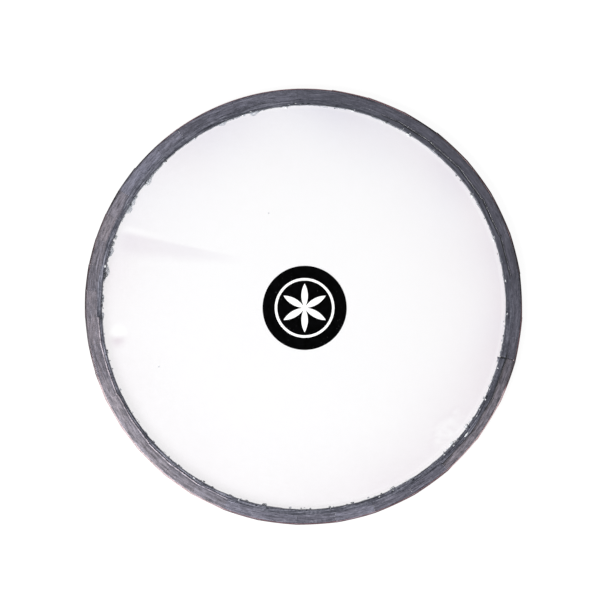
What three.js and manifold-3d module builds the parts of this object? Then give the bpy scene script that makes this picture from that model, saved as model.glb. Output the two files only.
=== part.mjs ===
// A flat synthetic drumhead for a hand drum: a clear polyester film stretched under a dark
// flat-bar hoop, folded up round the hoop's outside and glued down on its top as a ring of
// cut tabs. A printed dot with a plain ornament marks the centre of the playing side.
//
// Millimetres, +Z up towards the player. The origin is the centre of the film's underside,
// the flat face that the head rests on and that the drum's edge presses against.

import * as THREE from "three";
import { mergeVertices } from "three/addons/utils/BufferGeometryUtils.js";
import Module from "manifold-3d";

// Driving dimensions
const HEAD_DIAMETER = 222.2; // over the folded film, a head of 8 3/4 inches
const FILM_THICKNESS = 0.25;
const GLUE_THICKNESS = 0.1;

const HOOP_INNER_RADIUS = 102.4;
const HOOP_OUTER_RADIUS = 110.1;
const HOOP_HEIGHT = 4;
const HOOP_CHAMFER = 0.45;
const HOOP_JOINT_ANGLE = -14.5; // degrees, where the rolled bar's two ends meet
const HOOP_JOINT_GAP = 0.6;

const TAB_COUNT = 39;
const TAB_SPREAD = 14; // degrees, how far the hand-cut slits drift from an even spacing
const TAB_END_RADIUS = 105.1; // the straight cut ends of the folded tabs
const SLIT_WIDTH = 0.5;
const SLIT_DEPTH = 1.7; // how far a slit runs down the film's outer wall
const FOLD_RADIUS = 0.6;

const BEAD_REACH = 0.75; // the furthest that the squeezed-out glue creeps in over the film
const BEAD_HEIGHT = 1.3;
const BEAD_WANDER = 0.3; // the share of its reach by which the bead's toe wanders in and out
const BEAD_WAVES = [23, 37]; // wanderings per turn, which together don't repeat
const GLUE_SETBACK = 0.3; // from the edges that a glue layer lies between

const DOT_RADIUS = 21.3;
const DOT_CENTRE = new THREE.Vector2(0.5, -1);
const INK_THICKNESS = 0.06;
const RING_RADIUS = 15.2;
const RING_WIDTH = 1.3;
const ROSETTE_RADIUS = 12.4;
const ROSETTE_HUB_RADIUS = 1.5;
const PETALS = 6;

// Places that follow from them
const HEAD_RADIUS = HEAD_DIAMETER / 2;
const HOOP_BOTTOM = FILM_THICKNESS + GLUE_THICKNESS;
const HOOP_TOP = HOOP_BOTTOM + HOOP_HEIGHT;
const TAB_BOTTOM = HOOP_TOP + GLUE_THICKNESS;
const HEAD_HEIGHT = TAB_BOTTOM + FILM_THICKNESS;
const DOT_TOP = FILM_THICKNESS + INK_THICKNESS;

// Fineness of the round shapes
const AROUND = 120;
const FOLD_STEPS = 2;
const DOT_STEPS = 60;
const PETAL_STEPS = 7;

const MERGE_TOLERANCE = 1e-4; // corners closer than this are one corner
const CUT_OVERSHOOT = 1; // how far a cutting slab passes the surfaces that it cuts through

const wasm = await Module();
wasm.setup();

const radians = THREE.MathUtils.degToRad;

// The angle, in degrees, of the slit before tab k. The tabs are widest beside the hoop's joint.
function slitAngle(k) {
  const turn = k / TAB_COUNT;
  return HOOP_JOINT_ANGLE + 360 * turn + TAB_SPREAD * Math.sin(2 * Math.PI * turn);
}

// Revolves a profile of (radius, height) points round the Z axis.
function revolve(points) {
  return new THREE.LatheGeometry(points, AROUND).rotateX(Math.PI / 2);
}

function point(radius, height) {
  return new THREE.Vector2(radius, height);
}

// Points of a quarter turn round a centre, from one angle to another, in degrees.
function arc(centreRadius, centreHeight, radius, from, to) {
  return Array.from({ length: FOLD_STEPS + 1 }, (_, i) => {
    const angle = radians(from + ((to - from) * i) / FOLD_STEPS);
    return point(
      centreRadius + radius * Math.cos(angle),
      centreHeight + radius * Math.sin(angle),
    );
  });
}

// A ring of rectangular section.
function washer(innerRadius, outerRadius, bottom, top) {
  return revolve([
    point(innerRadius, bottom),
    point(outerRadius, bottom),
    point(outerRadius, top),
    point(innerRadius, top),
    point(innerRadius, bottom),
  ]);
}

// These two turn a closed geometry into a solid that can be joined and cut, and back.
function solidFrom(geometry) {
  const bare = geometry.index ? geometry.toNonIndexed() : geometry.clone();
  bare.deleteAttribute("normal");
  bare.deleteAttribute("uv");
  const merged = mergeVertices(bare, MERGE_TOLERANCE);
  return new wasm.Manifold(
    new wasm.Mesh({
      numProp: 3,
      vertProperties: merged.attributes.position.array,
      triVerts: new Uint32Array(merged.index.array),
    }),
  );
}

function geometryFrom(solid) {
  const mesh = solid.getMesh();
  const positions = new Float32Array(mesh.numVert * 3);
  for (let i = 0; i < mesh.numVert; i++) {
    const from = i * mesh.numProp;
    positions.set(mesh.vertProperties.subarray(from, from + 3), i * 3);
  }
  const geometry = new THREE.BufferGeometry();
  geometry.setAttribute("position", new THREE.BufferAttribute(positions, 3));
  geometry.setIndex(new THREE.BufferAttribute(mesh.triVerts, 1));
  geometry.computeVertexNormals();
  return geometry;
}

// A thin upright slab across the rim at an angle, for cutting a slit or a joint.
function slab(angle, width, innerRadius, outerRadius, bottom, top) {
  const length = outerRadius - innerRadius;
  return new THREE.BoxGeometry(length, width, top - bottom)
    .translate(innerRadius + length / 2, 0, (bottom + top) / 2)
    .rotateZ(radians(angle));
}

// The rolled flat bar, its long edges eased, open by a hairline where its ends meet.
function hoopGeometry() {
  const c = HOOP_CHAMFER;
  const bar = revolve([
    point(HOOP_INNER_RADIUS, HOOP_BOTTOM + c),
    point(HOOP_INNER_RADIUS + c, HOOP_BOTTOM),
    point(HOOP_OUTER_RADIUS - c, HOOP_BOTTOM),
    point(HOOP_OUTER_RADIUS, HOOP_BOTTOM + c),
    point(HOOP_OUTER_RADIUS, HOOP_TOP - c),
    point(HOOP_OUTER_RADIUS - c, HOOP_TOP),
    point(HOOP_INNER_RADIUS + c, HOOP_TOP),
    point(HOOP_INNER_RADIUS, HOOP_TOP - c),
    point(HOOP_INNER_RADIUS, HOOP_BOTTOM + c),
  ]);
  const joint = slab(
    HOOP_JOINT_ANGLE,
    HOOP_JOINT_GAP,
    HOOP_INNER_RADIUS - CUT_OVERSHOOT,
    HOOP_OUTER_RADIUS + CUT_OVERSHOOT,
    HOOP_BOTTOM - CUT_OVERSHOOT,
    HOOP_TOP + CUT_OVERSHOOT,
  );
  return geometryFrom(solidFrom(bar).subtract(solidFrom(joint)));
}

// The film: a disc, its folded wall and the tabs over the hoop, in one sheet.
function membraneGeometry() {
  const r = FOLD_RADIUS;
  const t = FILM_THICKNESS;
  const foldCentre = HEAD_RADIUS - r;
  const sheet = revolve([
    point(0, 0),
    ...arc(foldCentre, r, r, -90, 0),
    ...arc(foldCentre, HEAD_HEIGHT - r, r, 0, 90),
    point(TAB_END_RADIUS, HEAD_HEIGHT),
    point(TAB_END_RADIUS, TAB_BOTTOM),
    ...arc(foldCentre, HEAD_HEIGHT - r, r - t, 90, 0),
    ...arc(foldCentre, r, r - t, 0, -90),
    point(0, t),
  ]);
  let film = solidFrom(sheet);
  for (let k = 0; k < TAB_COUNT; k++) {
    const slit = slab(
      slitAngle(k),
      SLIT_WIDTH,
      TAB_END_RADIUS - CUT_OVERSHOOT,
      HEAD_RADIUS + CUT_OVERSHOOT,
      HEAD_HEIGHT - SLIT_DEPTH,
      HEAD_HEIGHT + CUT_OVERSHOOT,
    );
    film = film.subtract(solidFrom(slit));
  }
  return geometryFrom(film);
}

// How far in the bead's toe reaches at an angle, as a share of its furthest reach.
function beadShare(angle) {
  const waves = BEAD_WAVES.map((count) => Math.sin(count * angle));
  const mean = waves.reduce((sum, wave) => sum + wave, 0) / waves.length;
  return 1 - BEAD_WANDER * (1 - mean);
}

// The glue that was squeezed out along the foot of the hoop's inner wall: a fillet whose toe
// wanders in and out over the film.
function beadGeometry() {
  const bead = revolve([
    point(HOOP_INNER_RADIUS - BEAD_REACH, FILM_THICKNESS),
    point(HOOP_INNER_RADIUS, FILM_THICKNESS),
    point(HOOP_INNER_RADIUS, FILM_THICKNESS + BEAD_HEIGHT),
    point(HOOP_INNER_RADIUS - BEAD_REACH, FILM_THICKNESS),
  ]);
  const position = bead.attributes.position;
  for (let i = 0; i < position.count; i++) {
    const [x, y] = [position.getX(i), position.getY(i)];
    const angle = Math.atan2(y, x);
    const reach = HOOP_INNER_RADIUS - Math.hypot(x, y);
    const radius = HOOP_INNER_RADIUS - reach * beadShare(angle);
    position.setXY(i, radius * Math.cos(angle), radius * Math.sin(angle));
  }
  return bead;
}

// A flat layer of ink over the dot's centre.
function extrudeOnto(shape, bottom, steps) {
  const options = { depth: INK_THICKNESS, bevelEnabled: false, curveSegments: steps };
  return new THREE.ExtrudeGeometry(shape, options).translate(DOT_CENTRE.x, DOT_CENTRE.y, bottom);
}

function circle(radius) {
  const shape = new THREE.Shape();
  shape.absarc(0, 0, radius, 0, 2 * Math.PI);
  return shape;
}

function ringGeometry() {
  const shape = circle(RING_RADIUS);
  shape.holes.push(circle(RING_RADIUS - RING_WIDTH));
  return extrudeOnto(shape, DOT_TOP, DOT_STEPS);
}

// One leaf of the rosette: two arcs of the rosette's own radius, from its centre to its tip.
function petal(angle) {
  const sweep = Math.PI / 3;
  const left = new THREE.Vector2(ROSETTE_RADIUS, 0).rotateAround(new THREE.Vector2(), angle + sweep);
  const right = new THREE.Vector2(ROSETTE_RADIUS, 0).rotateAround(new THREE.Vector2(), angle - sweep);
  const shape = new THREE.Shape();
  shape.absarc(left.x, left.y, ROSETTE_RADIUS, angle - 2 * sweep, angle - sweep, false);
  shape.absarc(right.x, right.y, ROSETTE_RADIUS, angle + sweep, angle + 2 * sweep, false);
  return shape;
}

function rosetteGeometry() {
  let rosette = solidFrom(extrudeOnto(circle(ROSETTE_HUB_RADIUS), DOT_TOP, DOT_STEPS / PETALS));
  for (let k = 0; k < PETALS; k++) {
    const leaf = petal((2 * Math.PI * k) / PETALS + Math.PI / 2);
    rosette = rosette.add(solidFrom(extrudeOnto(leaf, DOT_TOP, PETAL_STEPS)));
  }
  return geometryFrom(rosette);
}

const filmMaterial = new THREE.MeshStandardMaterial({
  color: 0xf0f0f5,
  roughness: 0.15,
  metalness: 0,
  transparent: true,
  opacity: 0.35,
});
const hoopMaterial = new THREE.MeshStandardMaterial({
  color: 0x4b4a52,
  roughness: 0.42,
  metalness: 0.8,
});
const glueMaterial = new THREE.MeshStandardMaterial({
  color: 0xb9bcc0,
  roughness: 0.25,
  metalness: 0,
});
const blackInkMaterial = new THREE.MeshStandardMaterial({
  color: 0x070708,
  roughness: 0.35,
  metalness: 0,
});
const whiteInkMaterial = new THREE.MeshStandardMaterial({
  color: 0xf6f6f4,
  roughness: 0.4,
  metalness: 0,
});

function part(name, geometry, material) {
  const mesh = new THREE.Mesh(geometry, material);
  mesh.name = name;
  return mesh;
}

const head = new THREE.Group();
head.add(
  part("hoop", hoopGeometry(), hoopMaterial),
  part("membrane", membraneGeometry(), filmMaterial),
  part(
    "hoop_glue",
    washer(
      HOOP_INNER_RADIUS + HOOP_CHAMFER,
      HOOP_OUTER_RADIUS - HOOP_CHAMFER,
      FILM_THICKNESS,
      HOOP_BOTTOM,
    ),
    glueMaterial,
  ),
  part(
    "tab_glue",
    washer(
      TAB_END_RADIUS + GLUE_SETBACK,
      HOOP_OUTER_RADIUS - HOOP_CHAMFER,
      HOOP_TOP,
      TAB_BOTTOM,
    ),
    glueMaterial,
  ),
  part("inner_glue_bead", beadGeometry(), glueMaterial),
  part("centre_dot", extrudeOnto(circle(DOT_RADIUS), FILM_THICKNESS, DOT_STEPS), blackInkMaterial),
  part("ornament_ring", ringGeometry(), whiteInkMaterial),
  part("ornament_rosette", rosetteGeometry(), whiteInkMaterial),
);

export default head;
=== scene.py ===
# The looks of a flat hand-drum head: clear film under a dark flat-bar hoop, folded over the hoop
# in glued tabs, with a printed dot. Metres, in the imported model's frame, +Z towards the player.

from math import acos, atan2, cos, exp, hypot, pi, radians, sin

import bpy
import numpy as np
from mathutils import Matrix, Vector, noise


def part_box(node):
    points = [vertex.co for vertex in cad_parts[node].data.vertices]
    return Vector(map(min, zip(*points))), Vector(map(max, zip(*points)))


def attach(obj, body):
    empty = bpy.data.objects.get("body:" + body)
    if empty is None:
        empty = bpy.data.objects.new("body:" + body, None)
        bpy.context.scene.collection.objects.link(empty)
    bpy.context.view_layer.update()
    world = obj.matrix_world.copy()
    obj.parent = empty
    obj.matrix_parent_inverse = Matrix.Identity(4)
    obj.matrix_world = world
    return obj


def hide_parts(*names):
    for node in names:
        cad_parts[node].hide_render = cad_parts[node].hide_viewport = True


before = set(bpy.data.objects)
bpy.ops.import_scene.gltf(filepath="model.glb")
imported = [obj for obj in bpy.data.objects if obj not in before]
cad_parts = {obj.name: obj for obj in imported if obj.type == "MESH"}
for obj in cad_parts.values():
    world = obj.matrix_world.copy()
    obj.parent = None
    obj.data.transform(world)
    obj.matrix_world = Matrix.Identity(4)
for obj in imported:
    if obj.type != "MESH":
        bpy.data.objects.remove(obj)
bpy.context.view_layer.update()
scene = bpy.context.scene

MM = 0.001
TAU = 2 * pi


# --- sizes, read from the frame

def radii(node, centre=Vector((0, 0))):
    """The smallest and largest distance of a CAD node's corners from an upright axis."""
    corners = [v.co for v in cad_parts[node].data.vertices]
    distances = [hypot(c.x - centre.x, c.y - centre.y) for c in corners]
    return min(distances), max(distances)


def heights(node):
    low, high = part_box(node)
    return low.z, high.z


GLUE_SETBACK = 0.3 * MM  # how far outside the tabs' cut ends the CAD's glue begins

HOOP_INNER, HOOP_OUTER = radii("hoop")
HOOP_BOTTOM, HOOP_TOP = heights("hoop")
HEAD_RADIUS = radii("membrane")[1]
HEAD_TOP = heights("membrane")[1]
FILM = heights("hoop_glue")[0]  # the hoop's glue lies on the film
TAB_END = radii("tab_glue")[0] - GLUE_SETBACK
BEAD_REACH = HOOP_INNER - radii("inner_glue_bead")[0]
BEAD_HEIGHT = heights("inner_glue_bead")[1] - FILM
DOT_LOW, DOT_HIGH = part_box("centre_dot")
DOT_CENTRE = (DOT_LOW + DOT_HIGH) / 2
DOT_RADIUS = (DOT_HIGH.x - DOT_LOW.x) / 2
RING_INNER, RING_OUTER = radii("ornament_ring", DOT_CENTRE)
PETAL_LENGTH = (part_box("ornament_rosette")[1].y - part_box("ornament_rosette")[0].y) / 2

# --- where things lie round the rim

# Angles are in degrees from +X towards +Y, seen from the player's side.
JOINT_ANGLE = -14.5
TAB_COUNT = 39
TAB_SPREAD = 14
LOOSE_ARCS = [(-160, -112), (-48, -22)]  # where the fold stands off the bar
TIGHT_ARC = (75, 145)
SLACK_ARCS = [(165, 195), (-12, 50)]
SLACKER_ARC = (-112, -50)
WIDE_ARCS = [(-8, 60), (166, 192)]  # where the bar reaches a little further out
BLACK_EDGE_ARCS = [(132, 192), (2, 60)]  # where the folded edge is painted as a thin black line of shade
BULGE_ARCS = [(-26, 28), (92, 146)]  # where the bar's inner edge bulges inwards
WARM_ARCS = [(-48, -13), (150, 245)]  # where film and glue look violet, not blue-grey
DULL_DIRECTION = 45
PAINTED_LIGHT_DIRECTION = 150  # where painted light makes the glue under the tabs milkiest
CUT_GLINT = (-175, -113)  # where the tabs reach further in and their cut ends get a painted glint
SIDE_GLINT = (-225, -112)  # where their cut sides get a painted glint
WET_ARCS = [(-49, -13), (8, 68)]
WET_PATCH = (-49, -37)
DRY_ARC = (105, 170)
FAT_ARC = (95, 160)  # where the bead is thickest
SCRAP_ARC = (100, 184)  # where torn scraps of glued film hang inwards
BIG_SCRAPS = (170, 164.5, 151, 148.5, 141, 114, 104)
BIG_LUMPS = (-36.5, -43, -64, -101, -111, 171, 162, 160, 147, 134, 95, 76, 66, 58.5, 33, 19)
FLAKE_ANGLE = -38.3  # one larger flake on the bar, painted bright as a highlight

# Waves round the rim: the seed and turns of each and, if it is finer, its octaves.
FOLD_WAVE = (1, 20)
TAB_SHIFT_WAVE = (2, 60)
TAB_CUT_WAVE = (3, 60)
TAB_SLANT_WAVE = (4, 70)
TAB_SHADE_WAVE = (6, 80)
BAR_BROAD_WAVE = (9, 30)
BAR_FINE_WAVE = (10, 130)
BAR_RAGGED_WAVE = (11, 240, 4)
EDGE_SHADE_WAVE = (12, 90)
SQUEEZE_WAVE = (21, 60, 4)
CREST_WAVE = (22, 200)
WET_WAVE = (23, 30)
HOOP_GLUE_WAVE = (31, 120)
BEAD_WAVE = (41, 130, 4)
BEAD_SWELL_WAVE = (42, 45)
BEAD_TONE_WAVE = (43, 60)
DOT_WAVE = (51, 150)
RING_WAVE = (52, 150)


# --- small helpers

WAVE_GAIN = 1.4  # brings the noise to about -1 to 1
SEED_STEP = 7.3
CALM_POWER = 3


def wave(angle, seed, turns, octaves=3):
    """Smooth noise round the rim, about -1 to 1, that closes on itself. turns is its fineness."""
    reach = turns / TAU
    point = Vector((cos(angle) * reach, sin(angle) * reach, SEED_STEP * seed))
    return noise.fractal(point, 1.0, 2.0, octaves) * WAVE_GAIN


def bumpy(x, y, fineness, layer):
    """Smooth noise in one layer, about -1 to 1. fineness is per unit of x and y."""
    return noise.noise(Vector((x * fineness, y * fineness, layer)))


def clamp(t):
    return min(1.0, max(0.0, t))


def smooth(t):
    t = clamp(t)
    return t * t * (3 - 2 * t)


def rise(value, start, length):
    """0 before start, 1 from length after it."""
    return smooth((value - start) / length)


def fall(value, end, length):
    """1 until length before end, 0 after it."""
    return smooth((end - value) / length)


def peak(value, middle, width):
    return exp(-((value - middle) / width) ** 2)


def window(angle, start, end, soft=4):
    """1 between two angles in degrees and 0 outside them, with soft ends."""
    middle = radians((start + end) / 2)
    half = radians((end - start) / 2)
    away = abs((angle - middle + pi) % TAU - pi)
    return smooth((half - away) / radians(soft) + 0.5)


def within(arcs, angle, soft=4):
    """1 inside any of the arcs and 0 outside them, with soft ends."""
    return max(window(angle, start, end, soft) for start, end in arcs)


def mix(a, b, t):
    return a + (b - a) * t


def polar(radius, angle, height):
    return (radius * cos(angle), radius * sin(angle), height)


def side_faces(a, b, size):
    """The faces between two closed loops of size vertices that begin at vertex a and vertex b."""
    return [(a + i, a + (i + 1) % size, b + (i + 1) % size, b + i) for i in range(size)]


def swept_ring(section_at, stations):
    """Joins the sections given by section_at(angle), each of (radius, height, value)s, into one
    closed ring: its vertices, their values and its faces."""
    vertices, values, faces = [], [], []
    for station in range(stations):
        angle = TAU * station / stations
        section = section_at(angle)
        size = len(section)
        for radius, height, value in section:
            vertices.append(polar(radius, angle, height))
            values.append(value)
        faces += side_faces(station * size, (station + 1) % stations * size, size)
    return vertices, values, faces


def add_object(name, data):
    obj = bpy.data.objects.new(name, data)
    scene.collection.objects.link(obj)
    return obj


def make_object(name, vertices, faces, material, attributes=None, smooth=True):
    mesh = bpy.data.meshes.new(name)
    mesh.from_pydata(vertices, [], faces)
    mesh.validate()
    for key, values in (attributes or {}).items():
        mesh.attributes.new(key, "FLOAT", "POINT").data.foreach_set("value", values)
    mesh.polygons.foreach_set("use_smooth", [smooth] * len(mesh.polygons))
    mesh.update()
    mesh.materials.append(material)
    return add_object(name, mesh)


def make_piece(name, node, slot, *shape, **options):
    obj = make_object(name, *shape, **options)
    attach(obj, "root")
    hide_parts(node)
    return obj


def dull_side(angle):
    """1 in the direction where the whole head looks dullest, away from the key light, 0 opposite.
    Painted shade follows it.
    """
    return 0.5 + 0.5 * cos(angle - radians(DULL_DIRECTION))


def calm(angle):
    """1 where the bar and the glue over it look smooth and even, 0 where they are streaky. It
    follows the dull side: there the streaks are evened out and the film is painted less milky, as
    painted shade.
    """
    return dull_side(angle) ** CALM_POWER


def warm(angle):
    return within(WARM_ARCS, angle, soft=8)


# --- edges of the bar and the fold

# The hoop's inner edge lies a little off centre, and its outer edge less so, towards -Y.
INNER_SHIFT = 0.66 * MM
INNER_SHIFT_DIRECTION = -65
OUTER_SHIFT = 0.24 * MM
INNER_EASE = 0.3 * MM  # how much further out than in the CAD the edges lie on average
OUTER_EASE = 0.06 * MM
BULGE = 0.34 * MM
WIDER = 0.2 * MM
BROAD_WAVER = 0.08 * MM
FINE_WAVER = 0.1 * MM

WALL_GAP = 0.04 * MM  # between the bar and the film's wall where the wall hugs it
FOLD_INSET = 0.45 * MM  # how far inside the head's edge the fold lies where nothing moves it
FOLD_WAVER = 0.12 * MM
SLACK = 0.32 * MM
MORE_SLACK = 0.6 * MM
TIGHTNESS = 0.42 * MM
HUGGED_CHORD = 0.35  # how straight a crease stays where the fold hugs the bar

# The tabs reach further in on one side of the head, and where their cut ends get a painted glint.
LONG_TAB_DIRECTION = 120
LONG_TAB_SHIFT = 0.75 * MM
GLINT_SHIFT = 1.0 * MM
TAB_SHIFT = 0.12 * MM
CUT_WAVER = 0.3 * MM
CUT_SLANT = 0.55 * MM
SHADE_CONTRASTS = (0.9, 0.25)  # between tabs, at the bright side and the dull side
PAINTED_LIGHT_SWING = 0.2


def slit_angle(k):
    """The angle of the slit before tab k, in radians."""
    turn = k / TAB_COUNT
    return radians(JOINT_ANGLE + 360 * turn + TAB_SPREAD * sin(TAU * turn))


def hoop_inner(angle):
    """The hoop's inner edge: off centre, slightly uneven, and bulging inwards in places."""
    uneven = BROAD_WAVER * wave(angle, *BAR_BROAD_WAVE)
    uneven += FINE_WAVER * wave(angle, *BAR_FINE_WAVE)
    uneven -= BULGE * within(BULGE_ARCS, angle, soft=12)
    shift = INNER_SHIFT * cos(angle - radians(INNER_SHIFT_DIRECTION))
    return HOOP_INNER + INNER_EASE + shift + uneven


def hoop_outer(angle):
    wide = WIDER * within(WIDE_ARCS, angle, soft=12)
    return HOOP_OUTER + OUTER_EASE - OUTER_SHIFT * sin(angle) + wide


def loose(angle):
    """1 where the fold stands off the hoop, 0 where it lies close to it."""
    return within(LOOSE_ARCS, angle)


def hug(angle):
    """The film wall's outer radius where it lies against the hoop."""
    return hoop_outer(angle) + FILM + WALL_GAP


def fold_radius(angle):
    """The outermost radius of the film's folded wall."""
    snug = HEAD_RADIUS - FOLD_INSET + FOLD_WAVER * wave(angle, *FOLD_WAVE)
    snug += SLACK * within(SLACK_ARCS, angle, soft=12)
    snug += MORE_SLACK * window(angle, *SLACKER_ARC, soft=12)
    snug -= TIGHTNESS * window(angle, *TIGHT_ARC, soft=15)
    return min(HEAD_RADIUS, max(hug(angle), mix(snug, HEAD_RADIUS, loose(angle))))


class Tab:
    """One cut tab: its place round the rim, how it was cut, and how milky its glue is, made milkier
    towards one side as painted light.
    """

    def __init__(self, k):
        self.start = slit_angle(k)
        self.end = slit_angle(k + 1)
        self.middle = (self.start + self.end) / 2
        self.shift = TAB_SHIFT * wave(self.middle, *TAB_SHIFT_WAVE)
        longer = LONG_TAB_SHIFT * cos(self.middle - radians(LONG_TAB_DIRECTION))
        longer += GLINT_SHIFT * window(self.middle, *CUT_GLINT, soft=10)
        self.cut = TAB_END - longer + CUT_WAVER * wave(self.middle, *TAB_CUT_WAVE)
        self.slant = CUT_SLANT * wave(self.middle, *TAB_SLANT_WAVE)
        contrast = mix(*SHADE_CONTRASTS, dull_side(self.middle))
        # Painted light: the glue is made milkier, so lighter, towards one side of the head.
        milky = 0.5 + PAINTED_LIGHT_SWING * cos(self.middle - radians(PAINTED_LIGHT_DIRECTION))
        self.shade = clamp(milky + contrast * wave(self.middle, *TAB_SHADE_WAVE))

    def fold(self, angle):
        """The fold is a straight crease between two slits, so its middle lies further in. Where
        it hugs the hoop it is pressed nearly round."""
        chord = cos((self.end - self.start) / 2) / cos(angle - self.middle)
        chord = mix(1.0, chord, mix(HUGGED_CHORD, 1.0, loose(self.middle)))
        corner = max(fold_radius(self.start), fold_radius(self.end))
        return min(HEAD_RADIUS, max(hug(angle), corner * chord + self.shift))

    def cut_end(self, angle):
        share = (angle - self.start) / (self.end - self.start)
        return self.cut / cos(angle - self.middle) + self.slant * (share - 0.5)


TABS = [Tab(k) for k in range(TAB_COUNT)]


# --- materials

TINY = 1e-6  # avoids dividing by zero
CALM_LOSS = 0.65  # how much of a texture's spread is lost where all is calm
HEAD_ON_MIRROR = 0.035
GRAZING_MIRROR = 0.8
GRAZING_POWER = 5.0
WHITE = (1, 1, 1)
# the colour of the painted shade on the bar's rounded edges
EDGE_SHADE_COLOUR = (0.014, 0.018, 0.022, 1)
# the dark line along the tabs' cut ends: wet glue and painted shadow
WET_AND_SHADOW_COLOUR = (0.012, 0.013, 0.016, 1)
DUST_COLOUR = (0.2, 0.2, 0.2, 1)
CLEAR_GLUE_COLOUR = (0.91, 0.93, 0.96, 1)
BLACK_INK = ((0.0003, 0.0003, 0.0003), (0.0012, 0.0012, 0.0015))
WHITE_INK = ((0.8, 0.8, 0.79), (0.9, 0.9, 0.89))


class Nodes:
    """A short way to write a node material."""

    def __init__(self, name):
        self.material = bpy.data.materials.new(name)
        self.material.use_nodes = True
        self.tree = self.material.node_tree
        self.tree.nodes.clear()

    def add(self, kind, inputs=None, **settings):
        node = self.tree.nodes.new("ShaderNode" + kind)
        for key, value in settings.items():
            setattr(node, key, value)
        for key, value in (inputs or {}).items():
            socket = node.inputs[key]
            if isinstance(value, bpy.types.NodeSocket):
                self.tree.links.new(value, socket)
            else:
                socket.default_value = value
        return node

    def maths(self, operation, *values):
        return self.add("Math", dict(enumerate(values)), operation=operation).outputs[0]

    def times(self, first, second):
        return self.maths("MULTIPLY", first, second)

    def weighted(self, *parts):
        """Adds up values, each times its weight."""
        products = [self.times(value, weight) for value, weight in parts]
        total = products[0]
        for product in products[1:]:
            total = self.maths("ADD", total, product)
        return total

    def ramp(self, value, *stops):
        """Each stop is a value and the colour it gets."""
        node = self.add("ValToRGB", {0: value})
        elements = node.color_ramp.elements
        while len(elements) < len(stops):
            elements.new(0.5)
        for element, (position, colour) in zip(elements, stops):
            element.position = position
            element.color = (*colour, 1)
        return node.outputs[0]

    def grey_ramp(self, value, *stops):
        return self.ramp(value, *[(position, (level,) * 3) for position, level in stops])

    def noise(self, vector, scale=1.0, detail=4, roughness=0.55):
        inputs = {"Vector": vector, "Scale": scale, "Detail": detail, "Roughness": roughness}
        return self.add("TexNoise", inputs).outputs["Fac"]

    def attribute(self, name):
        return self.add("Attribute", attribute_name=name).outputs["Fac"]

    def position(self):
        return self.add("TexCoord").outputs["Object"]

    def rim_coordinates(self, along, across):
        """Object coordinates rolled out along the rim, without a seam: noise read in them runs
        in streaks. along is its fineness per radian, across per metre."""
        x, y, z = self.add("SeparateXYZ", {0: self.position()}).outputs
        radius = self.maths("SQRT", self.weighted((x, x), (y, y)))
        radius = self.maths("MAXIMUM", radius, TINY)
        inputs = {
            "X": self.times(self.maths("DIVIDE", x, radius), along),
            "Y": self.times(self.maths("DIVIDE", y, radius), along),
            "Z": self.times(self.maths("ADD", radius, z), across),
        }
        return self.add("CombineXYZ", inputs).outputs[0]

    def bump(self, height, distance, strength):
        inputs = {"Height": height, "Distance": distance, "Strength": strength}
        return self.add("Bump", inputs).outputs[0]

    def blend(self, share, first, second, blend_type="MIX"):
        inputs = {0: share, 6: first, 7: second}
        node = self.add("Mix", inputs, data_type="RGBA", blend_type=blend_type)
        return node.outputs[2]

    def evened(self, value, level):
        """Evens a texture's value out towards one level where the head looks calm."""
        loss = self.times(self.attribute("calm"), CALM_LOSS)
        strength = self.maths("SUBTRACT", 1.0, loss)
        spread = self.times(self.maths("SUBTRACT", value, level), strength)
        return self.maths("ADD", spread, level)

    def mirror_share(self, normal):
        """How much a thin clear sheet mirrors at each viewing angle, from either side."""
        inputs = {"Blend": 0.5, "Normal": normal}
        facing = self.add("LayerWeight", inputs).outputs["Facing"]
        grazing = self.maths("POWER", facing, GRAZING_POWER)
        return self.maths("ADD", self.times(grazing, GRAZING_MIRROR), HEAD_ON_MIRROR)

    def mix_shaders(self, share, first, second):
        return self.add("MixShader", {0: share, 1: first, 2: second}).outputs[0]

    def see_through(self, colour=(1, 1, 1, 1)):
        return self.add("BsdfTransparent", {"Color": colour}).outputs[0]

    def principled(self, inputs):
        return self.add("BsdfPrincipled", inputs).outputs[0]

    def output(self, shader):
        self.add("OutputMaterial", {"Surface": shader})
        return self.material


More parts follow.
